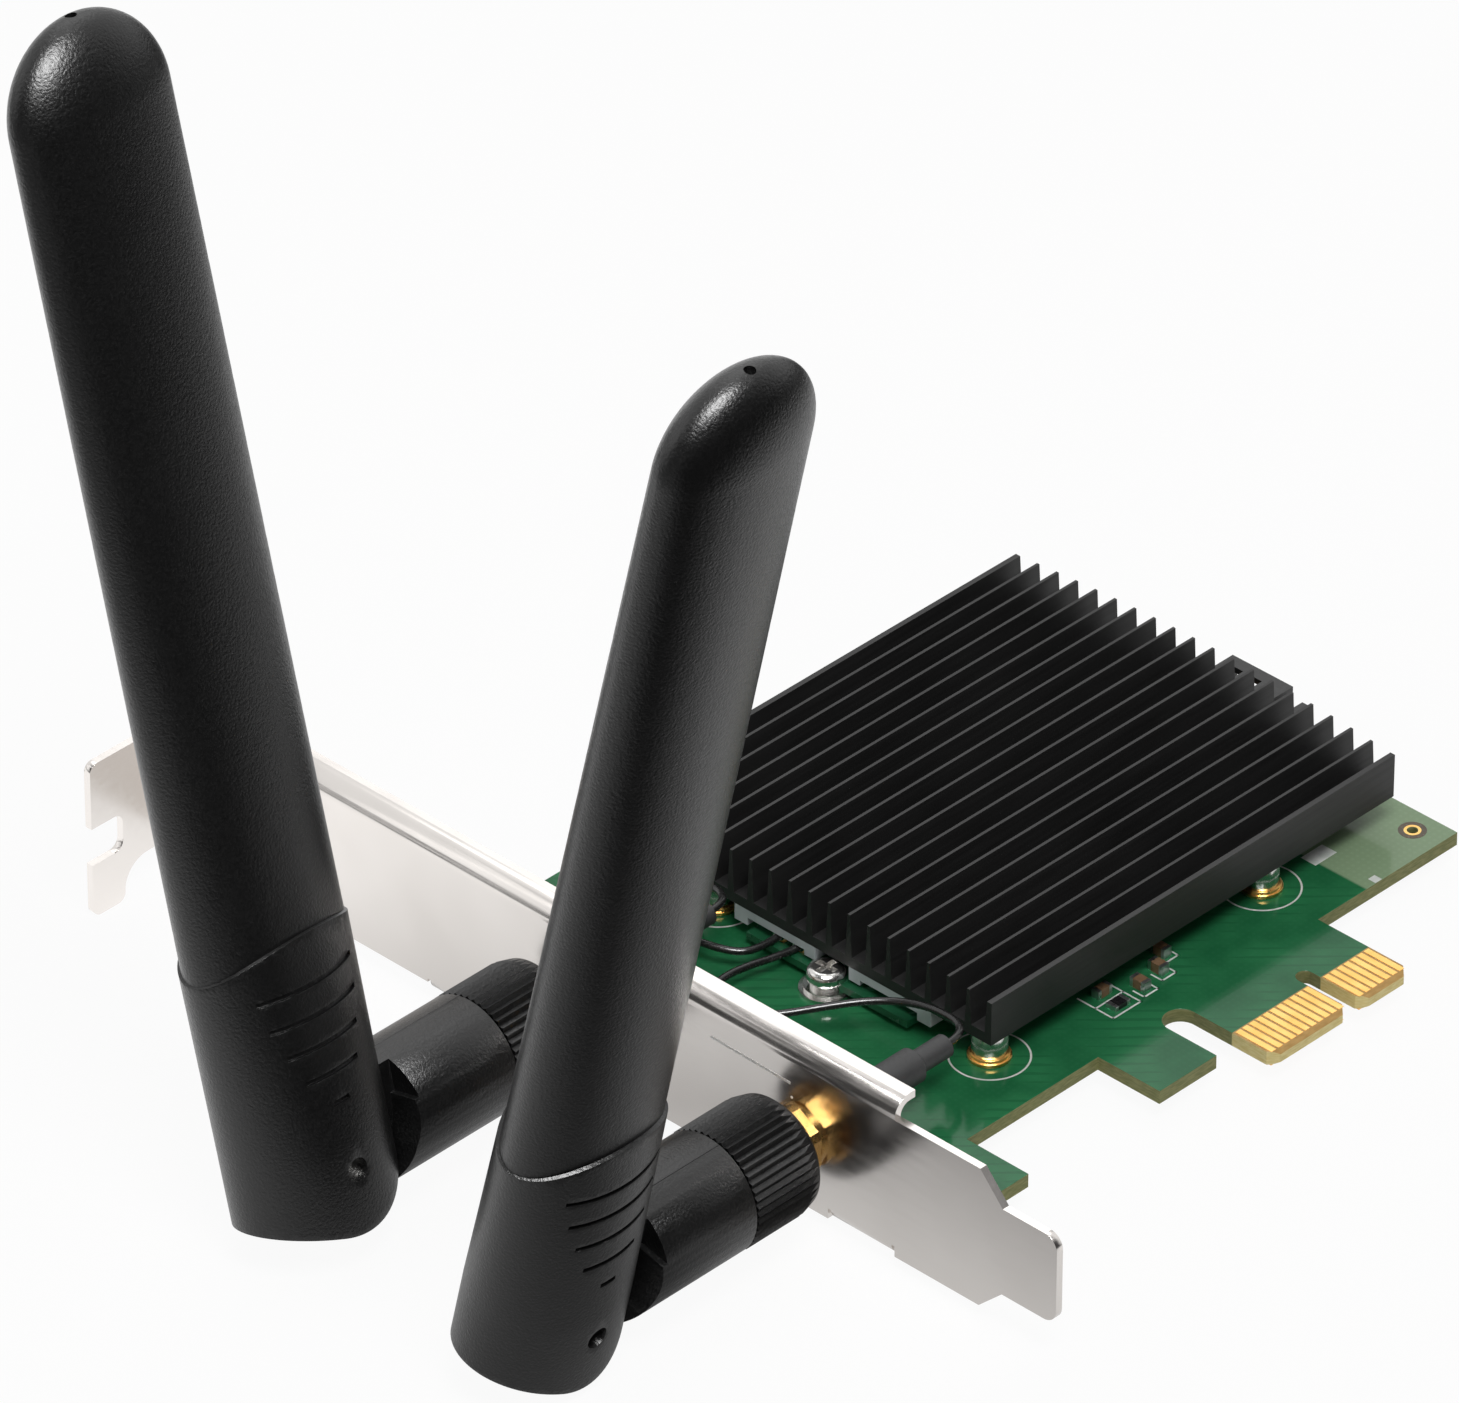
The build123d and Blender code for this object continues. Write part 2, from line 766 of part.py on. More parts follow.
def coupling_nut():
    end = hinge_to_face - coupling_gap
    start = end - coupling_length
    step = 2 * math.pi / knurl_count
    points = []
    for i in range(knurl_count):
        for shift, radius in ((0.0, coupling_radius), (0.5, coupling_radius - knurl_depth)):
            angle = (i + shift) * step
            points.append((radius * math.cos(angle), radius * math.sin(angle)))
    star = Plane((start, 0, 0), x_dir=(0, 1, 0), z_dir=(1, 0, 0)) * make_face(Polyline(*points, close=True))
    body = extrude(star, coupling_length)
    nose = end - coupling_nose
    body &= turned([(start, coupling_radius), (nose, coupling_radius),
                    (nose + coupling_nose * 0.7, coupling_radius - coupling_nose_drop * 0.35),
                    (end, coupling_radius - coupling_nose_drop)])
    body -= rod(end - insert_length, end, 0, 0, insert_radius)
    body -= rod(start + coupling_wall, end - insert_length, 0, 0, neck_collar + turning_gap)
    return body - rod(start, start + coupling_wall, 0, 0, neck_radius + coupling_play)


def coupling_insert():
    end = hinge_to_face - coupling_gap
    sleeve = rod(end - insert_length, end, 0, 0, insert_radius - press_play)
    return sleeve - rod(end - insert_length, end, 0, 0, barrel_radius + coupling_play)


def stem():
    nut_start = hinge_to_face - coupling_gap - coupling_length
    collar_start = nut_start + coupling_wall + turning_gap
    half = tongue_thickness / 2
    shoulder = base_top_half_width + stem_clear
    pocket = Pos(heel_x, heel_lift) * Circle(heel_radius + stem_clear) + Circle(stem_sweep)
    pocket += Pos(shoulder / 2, heel_lift + stem_radius / 2) * Rectangle(shoulder, stem_radius)
    body = rod(0, stem_end, 0, 0, stem_radius)
    for start in (half + stem_radius, -half):
        body -= extrude(upright_face(pocket, start), stem_radius)
    body += Rot(90, 0, 0) * Cylinder(knuckle_radius, tongue_thickness)
    body += rod(stem_end, collar_start, 0, 0, neck_radius)
    body += rod(collar_start, collar_start + neck_collar_length, 0, 0, neck_collar)
    return body - Rot(90, 0, 0) * Cylinder(pin_radius + pin_play, tongue_thickness)


def plug_contact():
    """Centre socket of the aerial's plug, round the jack's pin."""
    nut_start = hinge_to_face - coupling_gap - coupling_length
    start = nut_start + coupling_wall + turning_gap + neck_collar_length
    sleeve = rod(start, start + contact_reach, 0, 0, contact_radius)
    bore_start = start + contact_reach / 4
    return sleeve - rod(bore_start, start + contact_reach, 0, 0, jack_pin_radius + coupling_play)


def seam_form():
    """Cylinder across the blade whose crown is the arched seam between base and blade."""
    return Pos(0, 0, seam_top - seam_radius) * (Rot(90, 0, 0) * Cylinder(seam_radius, 4 * base_half_depth))


def base_side():
    """Side outline of the hinge base: a round heel, then a straight run rising to the toe."""
    toe = Vector(-base_half_width, -toe_drop)
    centre = Vector(heel_x, heel_lift)
    away = toe - centre
    bearing = math.atan2(away.Y, away.X) + math.acos(heel_radius / away.length)
    touch = centre + Vector(math.cos(bearing), math.sin(bearing)) * heel_radius
    past = touch + (toe - touch) * 1.5
    right = heel_x + 2 * heel_radius
    turn = math.degrees(bearing)
    lines = [
        CenterArc((heel_x, heel_lift), heel_radius, turn, -turn),
        Polyline((heel_x + heel_radius, heel_lift), (right, heel_lift), (right, 2 * seam_top),
                 (past.X, 2 * seam_top), (past.X, past.Y), (touch.X, touch.Y)),
    ]
    return make_face(Curve() + lines)


def base_form(inset):
    """Outer form of the hinge base, optionally smaller all round."""
    low = Pos(0, 0, heel_lift) * Ellipse(base_half_width - inset, base_half_depth - inset)
    high = Ellipse(base_top_half_width - inset, base_top_half_depth - inset)
    body = loft([low, Pos(0, 0, seam_top + seam_spare) * high])
    body += extrude(low, -heel_radius)
    body &= extrude(upright_face(base_side(), 2 * base_half_depth), 4 * base_half_depth)
    return body & seam_form()


def hinge_base():
    body = base_form(0)
    core = base_form(groove_depth)
    for i, reach in enumerate(groove_reaches):
        height = groove_first - i * groove_pitch
        band = block(-reach, reach, -base_half_depth, base_half_depth,
                     height - groove_width / 2, height + groove_width / 2)
        body -= band - core
    gap = tongue_thickness + 2 * knuckle_side_play
    reach = base_top_half_width + stem_clear
    radius = knuckle_radius + knuckle_swing_play
    slot = Rot(90, 0, 0) * Cylinder(radius, gap)
    slot += block(0, reach, -gap / 2, gap / 2, -reach, radius)
    slot += block(-radius, 0, -gap / 2, gap / 2, -reach, 0)
    body -= slot
    return body - Rot(90, 0, 0) * Cylinder(pin_radius + press_play, 2 * base_half_depth)


def hinge_pin():
    return Rot(90, 0, 0) * Cylinder(pin_radius, 2 * (base_half_depth - pin_recess))


def blade():
    centre = blade_reach - blade_half_width
    root = Ellipse(blade_half_width, base_top_half_depth - seam_step)
    tip = Ellipse(blade_half_width, blade_tip_half_depth)
    body = loft([Pos(0, 0, blade_root_height) * root, Pos(0, 0, centre) * tip])
    half = tip & Pos(-blade_half_width / 2, 0) * Rectangle(blade_half_width, 2 * blade_tip_half_depth)
    body += Pos(0, 0, centre) * revolve(half, Axis.Y, 180)
    body -= seam_form()
    return body - post(0, 0, blade_reach - tip_hole_depth, blade_reach, tip_hole_radius)


def write(name, shape):
    export_step(shape, os.path.join("parts", name + ".step"))


def main():
    os.makedirs("parts", exist_ok=True)
    write("circuit_board", circuit_board())
    write("edge_contacts", edge_contacts())
    write("io_bracket", io_bracket())
    write("bracket_screws", bracket_screws())
    write("heatsink", heatsink())
    write("standoff_collars", standoff_collars())
    write("heatsink_standoffs", heatsink_standoffs())
    write("heatsink_screws", heatsink_screws())
    write("module_board", module_board())
    write("module_shield", module_shield())
    write("module_socket", module_socket())
    write("module_standoff", module_standoff())
    write("module_screw", module_screw())
    write("module_receptacles", module_receptacles())
    write("lower_thermal_pad", thermal_pad(-1))
    write("upper_thermal_pad", thermal_pad(1))
    write("lead_header", lead_header())
    write("lead_header_pins", header_pins_group())
    write("chip_capacitors", Compound([chip_pieces(spot, "body")[0] for spot in chip_spots]))
    write("chip_resistor", chip_pieces(resistor_spot, "body")[0])
    write("chip_terminals", chip_terminals())
    for name, y in jack_places.items():
        write(name + "_jack_body", jack_body(y))
        write(name + "_jack_insulator", jack_insulator(y))
        write(name + "_jack_pin", jack_pin(y))
        write(name + "_jack_washer", jack_washer(y))
        write(name + "_jack_nut", jack_nut(y))
        write(name + "_cable_boot", cable_boot(y))
        write(name + "_pigtail", pigtail(name))
        write(name + "_coax_plug", coax_plug(name))
        place = aerial_place(name)
        write(name + "_coupling_nut", place * coupling_nut())
        write(name + "_coupling_insert", place * coupling_insert())
        write(name + "_stem", place * stem())
        write(name + "_plug_contact", place * plug_contact())
        write(name + "_hinge_base", place * hinge_base())
        write(name + "_hinge_pin", place * hinge_pin())
        write(name + "_blade", place * blade())


main()
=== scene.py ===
import bmesh
import bpy
import math
from mathutils import Matrix, Vector


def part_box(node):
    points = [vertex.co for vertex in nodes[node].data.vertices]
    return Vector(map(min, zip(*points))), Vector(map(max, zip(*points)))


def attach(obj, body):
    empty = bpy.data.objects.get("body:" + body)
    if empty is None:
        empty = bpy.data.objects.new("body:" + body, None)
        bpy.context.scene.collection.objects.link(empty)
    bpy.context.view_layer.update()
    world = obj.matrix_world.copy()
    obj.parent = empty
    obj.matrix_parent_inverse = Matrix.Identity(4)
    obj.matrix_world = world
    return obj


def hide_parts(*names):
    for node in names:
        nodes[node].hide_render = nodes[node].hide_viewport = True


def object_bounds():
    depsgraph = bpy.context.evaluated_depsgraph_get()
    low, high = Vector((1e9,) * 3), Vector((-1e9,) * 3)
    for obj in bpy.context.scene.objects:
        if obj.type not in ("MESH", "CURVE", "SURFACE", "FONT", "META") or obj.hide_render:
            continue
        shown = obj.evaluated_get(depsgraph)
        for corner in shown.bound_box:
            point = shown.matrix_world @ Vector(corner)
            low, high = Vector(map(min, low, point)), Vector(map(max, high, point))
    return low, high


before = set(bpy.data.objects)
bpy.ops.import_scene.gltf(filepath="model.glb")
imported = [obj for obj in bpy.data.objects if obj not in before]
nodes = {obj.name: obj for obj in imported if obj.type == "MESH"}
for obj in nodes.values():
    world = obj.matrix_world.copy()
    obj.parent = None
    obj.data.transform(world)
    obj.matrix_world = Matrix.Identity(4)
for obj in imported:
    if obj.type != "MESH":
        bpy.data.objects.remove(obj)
cad_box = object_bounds()

MM = 0.001

# Places of the part, in millimetres
FACE_X = -59.7
LOWER_Y = 12.35
STANDOFF_X = (-31.55, 8.35)
STANDOFF_Y = (20.24, 57.44)
CONTACT_START = 5.4
TONGUE_X = -12.3
PALE_ZONE_X = 15.4
CORNER_HOLE = (26.3, 15.85)
CORNER_HOLE_RADIUS = 0.55
HINGE_X = -94.9
JACK_Z = 5.57
JACK_Y = {"lower": 19.37, "upper": 51.62}
SPLAY = {"lower": 12.9, "upper": -13.7}
STEM_RADIUS = 6.6

# Pigtails, as route points in millimetres
COAX_DIAMETER = 0.81
COAX_ROUTES = {
    "lower": (
        (-39.04, 19.37, 5.57), (-36.94, 19.37, 5.57), (-35.29, 20.77, 5.50), (-34.79, 23.27, 5.22),
        (-34.79, 25.97, 4.87), (-35.49, 28.67, 4.42), (-37.39, 31.37, 4.12), (-40.49, 33.67, 3.92),
        (-44.29, 36.27, 3.62), (-47.29, 39.37, 3.22), (-47.55, 42.75, 2.805), (-45.5, 45.35, 2.405),
        (-42.1, 46.3, 2.125), (-38.7, 45.75, 2.045), (-35.9, 44.85, 2.015), (-33.6, 44.55, 2.005),
    ),
    "upper": (
        (-39.04, 51.62, 5.57), (-37.09, 51.62, 5.57), (-35.39, 53.02, 5.37), (-34.79, 55.72, 4.97),
        (-35.26, 58.38, 4.47), (-37.19, 60.02, 3.87), (-39.69, 59.82, 3.37), (-41.29, 57.92, 2.97),
        (-41.04, 55.32, 2.62), (-40.1, 52.65, 2.355), (-39.3, 50.05, 2.205), (-38.15, 47.95, 2.085),
        (-36.0, 47.1, 2.015), (-33.6, 47.25, 2.005),
    ),
}

# Camera
EYE = Vector((-827.9, -710.15, 787.7)) * MM
FORWARD = Vector((0.5932, 0.5706, -0.5679)).normalized()
RIGHT = Vector((0.6937, -0.7203, 0.0009)).normalized()
LENS = 334.6
SENSOR = 36.0


def make_camera():
    data = bpy.data.cameras.new("camera")
    data.sensor_fit = "HORIZONTAL"
    data.sensor_width = SENSOR
    data.lens = LENS
    data.clip_start = 0.01
    data.clip_end = 50.0
    camera = bpy.data.objects.new("camera", data)
    bpy.context.scene.collection.objects.link(camera)
    up = RIGHT.cross(FORWARD).normalized()
    turn = Matrix((RIGHT, up, -FORWARD)).transposed().to_4x4()
    camera.matrix_world = Matrix.Translation(EYE) @ turn
    bpy.context.scene.camera = camera


# Shader helpers

def new_material(name):
    material = bpy.data.materials.new(name)
    material.use_nodes = True
    tree = material.node_tree
    return material, tree, tree.nodes["Principled BSDF"]


def object_place(tree):
    return tree.nodes.new("ShaderNodeTexCoord").outputs["Object"]


def axis_of(tree, vector, axis):
    split = tree.nodes.new("ShaderNodeSeparateXYZ")
    tree.links.new(vector, split.inputs[0])
    return split.outputs[axis]


def noise(tree, scale, detail=3.0, stretch=(1.0, 1.0, 1.0)):
    """Noise in object space; scale counts features per metre."""
    mapping = tree.nodes.new("ShaderNodeMapping")
    mapping.inputs["Scale"].default_value = stretch
    tree.links.new(object_place(tree), mapping.inputs["Vector"])
    node = tree.nodes.new("ShaderNodeTexNoise")
    node.inputs["Scale"].default_value = scale
    node.inputs["Detail"].default_value = detail
    tree.links.new(mapping.outputs["Vector"], node.inputs["Vector"])
    return node.outputs["Fac"]


def bands(tree, scale, direction):
    """Stripes in object space across one axis; scale counts waves per 20 metres or so."""
    node = tree.nodes.new("ShaderNodeTexWave")
    node.wave_type = "BANDS"
    node.bands_direction = direction
    node.inputs["Scale"].default_value = scale
    node.inputs["Distortion"].default_value = 0.6
    node.inputs["Detail"].default_value = 1.0
    tree.links.new(object_place(tree), node.inputs["Vector"])
    return node.outputs["Fac"]


def remap(tree, value, low, high, start=0.0, end=1.0, smooth=False):
    node = tree.nodes.new("ShaderNodeMapRange")
    node.interpolation_type = "SMOOTHSTEP" if smooth else "LINEAR"
    node.inputs["From Min"].default_value = low
    node.inputs["From Max"].default_value = high
    node.inputs["To Min"].default_value = start
    node.inputs["To Max"].default_value = end
    tree.links.new(value, node.inputs["Value"])
    return node.outputs["Result"]


def math_node(tree, operation, first, second=None):
    node = tree.nodes.new("ShaderNodeMath")
    node.operation = operation
    for socket, value in zip(node.inputs, (first, second)):
        if value is None:
            continue
        if isinstance(value, (int, float)):
            socket.default_value = value
        else:
            tree.links.new(value, socket)
    return node.outputs[0]


def mix(tree, factor, first, second):
    """Mix of two colours, each a socket or three numbers."""
    node = tree.nodes.new("ShaderNodeMix")
    node.data_type = "RGBA"
    tree.links.new(factor, node.inputs["Factor"])
    for index, value in ((6, first), (7, second)):
        if isinstance(value, tuple):
            node.inputs[index].default_value = (*value, 1.0)
        else:
            tree.links.new(value, node.inputs[index])
    return node.outputs[2]


def bump(tree, bsdf, height, strength, distance):
    node = tree.nodes.new("ShaderNodeBump")
    node.inputs["Strength"].default_value = strength
    node.inputs["Distance"].default_value = distance
    tree.links.new(height, node.inputs["Height"])
    tree.links.new(node.outputs["Normal"], bsdf.inputs["Normal"])


def varied(name, dark, light, rough, grain, metallic=0.0, grain_bump=0.0, grain_stretch=(1.0, 1.0, 1.0),
           patch=90.0, specular=0.5):
    """Material whose colour drifts in soft patches, with a finer grain in its roughness and relief."""
    material, tree, bsdf = new_material(name)
    patches = noise(tree, patch, 2.0)
    fine = noise(tree, grain, 3.0, grain_stretch)
    colour = mix(tree, remap(tree, patches, 0.35, 0.65), dark, light)
    tree.links.new(colour, bsdf.inputs["Base Color"])
    tree.links.new(remap(tree, fine, 0.3, 0.7, rough[0], rough[1]), bsdf.inputs["Roughness"])
    bsdf.inputs["Metallic"].default_value = metallic
    bsdf.inputs["Specular IOR Level"].default_value = specular
    if grain_bump:
        bump(tree, bsdf, fine, 1.0, grain_bump)
    return material


WEAVE = 420.0
TRACES = 300.0
ZONE_BLUR = 0.15


def board_material():
    """Green solder mask over woven glass, with bare laminate on the edges and round the contacts."""
    material, tree, bsdf = new_material("solder_mask")
    place = object_place(tree)
    east = axis_of(tree, place, "X")
    north = axis_of(tree, place, "Y")
    weave = math_node(tree, "MULTIPLY", bands(tree, WEAVE, "X"), bands(tree, WEAVE, "Y"))
    pour = noise(tree, 140.0, 2.0)
    green = mix(tree, remap(tree, pour, 0.4, 0.6), (0.016, 0.138, 0.052), (0.026, 0.190, 0.073))
    green = mix(tree, remap(tree, weave, 0.2, 1.0, 0.0, 0.18), green, (0.035, 0.190, 0.085))
    traces = bands(tree, TRACES, "DIAGONAL")
    green = mix(tree, remap(tree, math_node(tree, "MULTIPLY", traces, pour), 0.46, 0.52, 0.0, 0.35),
                green, (0.010, 0.085, 0.035))
    pale = remap(tree, east, (PALE_ZONE_X - ZONE_BLUR) * MM, (PALE_ZONE_X + ZONE_BLUR) * MM)
    bare_green = mix(tree, remap(tree, weave, 0.2, 1.0), (0.265, 0.375, 0.225), (0.285, 0.400, 0.245))
    green = mix(tree, pale, green, bare_green)
    laminate_grain = noise(tree, 900.0, 3.0, (1.0, 1.0, 6.0))
    grain = remap(tree, laminate_grain, 0.35, 0.65)
    cut = mix(tree, grain, (0.17, 0.18, 0.065), (0.27, 0.27, 0.115))
    cream = mix(tree, grain, (0.74, 0.60, 0.24), (0.86, 0.74, 0.37))
    tongue = remap(tree, east, (TONGUE_X - 0.2) * MM, (TONGUE_X + 0.2) * MM)
    bare = remap(tree, north, (CONTACT_START + 0.12) * MM, (CONTACT_START + 0.22) * MM, 1.0, 0.0)
    bare = math_node(tree, "MULTIPLY", bare, tongue)
    facing = axis_of(tree, tree.nodes.new("ShaderNodeNewGeometry").outputs["Normal"], "Z")
    edge = remap(tree, math_node(tree, "ABSOLUTE", facing), 0.6, 0.8, 1.0, 0.0)
    copper = mix(tree, grain, (0.50, 0.29, 0.09), (0.60, 0.37, 0.13))
    colour = mix(tree, bare, green, copper)
    colour = mix(tree, edge, colour, mix(tree, bare, cut, cream))
    tree.links.new(colour, bsdf.inputs["Base Color"])
    rough = math_node(tree, "ADD", remap(tree, pour, 0.3, 0.7, 0.10, 0.16),
                      math_node(tree, "MULTIPLY", edge, 0.45))
    tree.links.new(rough, bsdf.inputs["Roughness"])
    bsdf.inputs["Specular IOR Level"].default_value = 0.24
    bump(tree, bsdf, weave, 0.12, 0.00001)
    return material


# Finishes: two colours, the span of roughness, and the grain in features per metre
FINISHES = {
    "aerial_black": {
        "dark": (0.0036, 0.0036, 0.0037),
        "light": (0.0050, 0.0050, 0.0051),
        "rough": (0.30, 0.40),
        "grain": 3400.0,
        "grain_bump": 0.00006,
    },
    "module_mask": {
        "dark": (0.010, 0.085, 0.035),
        "light": (0.016, 0.115, 0.05),
        "rough": (0.2, 0.3),
        "grain": 700.0,
    },
    "contact_gold": {
        "dark": (0.80, 0.46, 0.13),
        "light": (0.88, 0.54, 0.18),
        "rough": (0.24, 0.36),
        "grain": 1500.0,
        "metallic": 1.0,
        "patch": 400.0,
    },
    "jack_gold": {
        "dark": (0.42, 0.245, 0.075),
        "light": (0.50, 0.305, 0.105),
        "rough": (0.20, 0.30),
        "grain": 1200.0,
        "metallic": 1.0,
        "patch": 300.0,
    },
    "bracket_steel": {
        "dark": (0.69, 0.655, 0.625),
        "light": (0.75, 0.715, 0.685),
        "rough": (0.19, 0.27),
        "grain": 1500.0,
        "metallic": 1.0,
        "grain_stretch": (1.0, 0.15, 1.0),
        "patch": 60.0,
    },
    "screw_steel": {
        "dark": (0.60, 0.59, 0.57),
        "light": (0.70, 0.69, 0.67),
        "rough": (0.14, 0.24),
        "grain": 1600.0,
        "metallic": 1.0,
        "patch": 400.0,
    },
    "shield_tin": {
        "dark": (0.55, 0.55, 0.56),
        "light": (0.63, 0.63, 0.64),
        "rough": (0.25, 0.38),
        "grain": 900.0,
        "metallic": 1.0,
    },
    "heatsink_black": {
        "dark": (0.013, 0.0128, 0.0128),
        "light": (0.018, 0.0176, 0.0176),
        "rough": (0.42, 0.54),
        "grain": 2600.0,
        "grain_bump": 0.000006,
        "grain_stretch": (0.04, 1.0, 1.0),
        "specular": 0.35,
    },
    "thermal_pad": {
        "dark": (0.40, 0.435, 0.455),
        "light": (0.47, 0.505, 0.525),
        "rough": (0.5, 0.65),
        "grain": 1800.0,
        "grain_bump": 0.00002,
        "patch": 350.0,
    },
    "connector_black": {
        "dark": (0.008, 0.008, 0.008),
        "light": (0.013, 0.013, 0.013),
        "rough": (0.38, 0.5),
        "grain": 2600.0,
        "grain_bump": 0.00001,
    },
    "insulator_white": {
        "dark": (0.72, 0.71, 0.68),
        "light": (0.80, 0.79, 0.76),
        "rough": (0.35, 0.5),
        "grain": 1800.0,
    },
    "chip_tan": {
        "dark": (0.20, 0.115, 0.06),
        "light": (0.27, 0.165, 0.09),
        "rough": (0.3, 0.45),
        "grain": 2500.0,
        "patch": 900.0,
    },
    "chip_black": {
        "dark": (0.008, 0.008, 0.009),
        "light": (0.014, 0.014, 0.015),
        "rough": (0.25, 0.4),
        "grain": 2500.0,
        "patch": 900.0,
    },
    "boot_black": {
        "dark": (0.022, 0.022, 0.023),
        "light": (0.034, 0.034, 0.035),
        "rough": (0.5, 0.65),
        "grain": 2400.0,
        "grain_bump": 0.00002,
    },
    "coax_black": {
        "dark": (0.010, 0.010, 0.010),
        "light": (0.016, 0.016, 0.016),
        "rough": (0.20, 0.30),
        "grain": 2600.0,
        "grain_bump": 0.000006,
    },
    "hole_brown": {
        "dark": (0.060, 0.040, 0.016),
        "light": (0.095, 0.065, 0.028),
        "rough": (0.2, 0.3),
        "grain": 2500.0,
        "patch": 900.0,
    },
    "legend_white": {
        "dark": (0.86, 0.85, 0.83),
        "light": (0.92, 0.91, 0.89),
        "rough": (0.3, 0.4),
        "grain": 3000.0,
        "patch": 900.0,
    },
    "silk_white": {
        "dark": (0.62, 0.66, 0.62),
        "light": (0.78, 0.80, 0.77),
        "rough": (0.5, 0.65),
        "grain": 4000.0,
        "patch": 900.0,
    },
}


def make_materials():
    materials = {name: varied(name, **finish) for name, finish in FINISHES.items()}
    materials["solder_mask"] = board_material()
    return materials


# Finish of each CAD node
SLOTS = {
    "circuit_board": "solder_mask",
    "edge_contacts": "contact_gold",
    "io_bracket": "bracket_steel",
    "bracket_screws": "screw_steel",
    "heatsink": "heatsink_black",
    "standoff_collars": "contact_gold",
    "heatsink_standoffs": "screw_steel",
    "heatsink_screws": "screw_steel",
    "module_board": "module_mask",
    "module_shield": "shield_tin",
    "module_socket": "connector_black",
    "module_standoff": "screw_steel",
    "module_screw": "screw_steel",
    "module_receptacles": "contact_gold",
    "lower_thermal_pad": "thermal_pad",
    "upper_thermal_pad": "thermal_pad",
    "lead_header": "connector_black",
    "lead_header_pins": "contact_gold",
    "chip_capacitors": "chip_tan",
    "chip_resistor": "chip_black",
    "chip_terminals": "shield_tin",
}
AERIAL_SLOTS = {
    "jack_body": "jack_gold",
    "jack_insulator": "insulator_white",
    "jack_pin": "jack_gold",
    "jack_washer": "jack_gold",
    "jack_nut": "jack_gold",
    "cable_boot": "boot_black",
    "coax_plug": "screw_steel",
    "coupling_nut": "aerial_black",
    "coupling_insert": "jack_gold",
    "stem": "aerial_black",
    "plug_contact": "jack_gold",
    "hinge_base": "aerial_black",
    "hinge_pin": "screw_steel",
    "blade": "aerial_black",
}

# Nodes whose edges are broken by a small round, with its width in millimetres
SOFT_EDGES = {
    "io_bracket": 0.16,
    "circuit_board": 0.05,
    "heatsink": 0.08,
    "module_screw": 0.12,
    "bracket_screws": 0.12,
    "standoff_collars": 0.06,
    "heatsink_standoffs": 0.06,
    "lower_hinge_base": 0.25,
    "upper_hinge_base": 0.25,
    "lower_stem": 0.25,
    "upper_stem": 0.25,
}


WELD_GAP = 0.002
EDGE_ANGLE = 40


def soften_edges():
    for name, width in SOFT_EDGES.items():
        node = nodes[name]
        weld = node.modifiers.new("weld", "WELD")
        weld.merge_threshold = WELD_GAP * MM
        bevel = node.modifiers.new("edge_round", "BEVEL")
        bevel.width = width * MM
        bevel.segments = 2
        bevel.limit_method = "ANGLE"
        bevel.angle_limit = math.radians(EDGE_ANGLE)
        bevel.harden_normals = True


def dress_nodes(materials):
    slots = dict(SLOTS)
    for side in JACK_Y:
        for piece, slot in AERIAL_SLOTS.items():
            slots[side + "_" + piece] = slot
    for name, slot in slots.items():
        mesh = nodes[name].data
        mesh.materials.clear()
        mesh.materials.append(materials[slot])


# Added pieces

def link(name, data, material, body):
    piece = bpy.data.objects.new(name, data)
    bpy.context.scene.collection.objects.link(piece)
    data.materials.append(material)
    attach(piece, body)
    return piece


def make_pigtails(materials):
    for side, route in COAX_ROUTES.items():
        curve = bpy.data.curves.new(side + "_coax", "CURVE")
        curve.dimensions = "3D"
        curve.bevel_depth = COAX_DIAMETER / 2 * MM
        curve.bevel_resolution = 5
        curve.resolution_u = 10
        curve.use_fill_caps = True
        spline = curve.splines.new("NURBS")
        spline.points.add(len(route) - 1)
        for point, place in zip(spline.points, route):
            point.co = (place[0] * MM, place[1] * MM, place[2] * MM, 1.0)
        spline.order_u = 3
        spline.use_endpoint_u = True
        spline.use_smooth = True
        piece = link(side + "_coax", curve, materials["coax_black"], "card")
        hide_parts(side + "_pigtail")


def flat_piece(name, shapes, z, height, material):
    """Thin printed shapes on the board, each a closed outline of (x, y) points with an optional hole."""
    mesh = bpy.data.meshes.new(name)
    build = bmesh.new()
    for outline, hole in shapes:
        if hole is None:
            top = [build.verts.new((x * MM, y * MM, (z + height) * MM)) for x, y in outline]
            low = [build.verts.new((x * MM, y * MM, z * MM)) for x, y in outline]
            build.faces.new(top)
            build.faces.new(list(reversed(low)))
            for i in range(len(outline)):
                j = (i + 1) % len(outline)
                build.faces.new((top[i], low[i], low[j], top[j]))
        else:
            rings = []
            for points in (outline, hole):
                rings.append([[build.verts.new((x * MM, y * MM, level * MM)) for x, y in points]
                              for level in (z + height, z)])
            (top, low), (inner_top, inner_low) = rings
            for i in range(len(outline)):
                j = (i + 1) % len(outline)
                build.faces.new((top[i], top[j], inner_top[j], inner_top[i]))
                build.faces.new((low[j], low[i], inner_low[i], inner_low[j]))
                build.faces.new((top[i], low[i], low[j], top[j]))
                build.faces.new((inner_top[j], inner_low[j], inner_low[i], inner_top[i]))
    bmesh.ops.recalc_face_normals(build, faces=build.faces)
    build.to_mesh(mesh)
    build.free()
    return link(name, mesh, material, "card")


def circle(x, y, radius, count):
    angles = [2 * math.pi * i / count for i in range(count)]
    return [(x + radius * math.cos(angle), y + radius * math.sin(angle)) for angle in angles]


def ring(x, y, radius, width, count=96):
    return circle(x, y, radius + width / 2, count), circle(x, y, radius - width / 2, count)


def stroke(start, end, width):
    """Straight printed line between two points."""
    first, last = Vector(start), Vector(end)
    along = (last - first).normalized() * (width / 2)
    side = Vector((-along.y, along.x))
    corners = (first - along - side, last + along - side, last + along + side, first - along + side)
    return [tuple(corner) for corner in corners], None


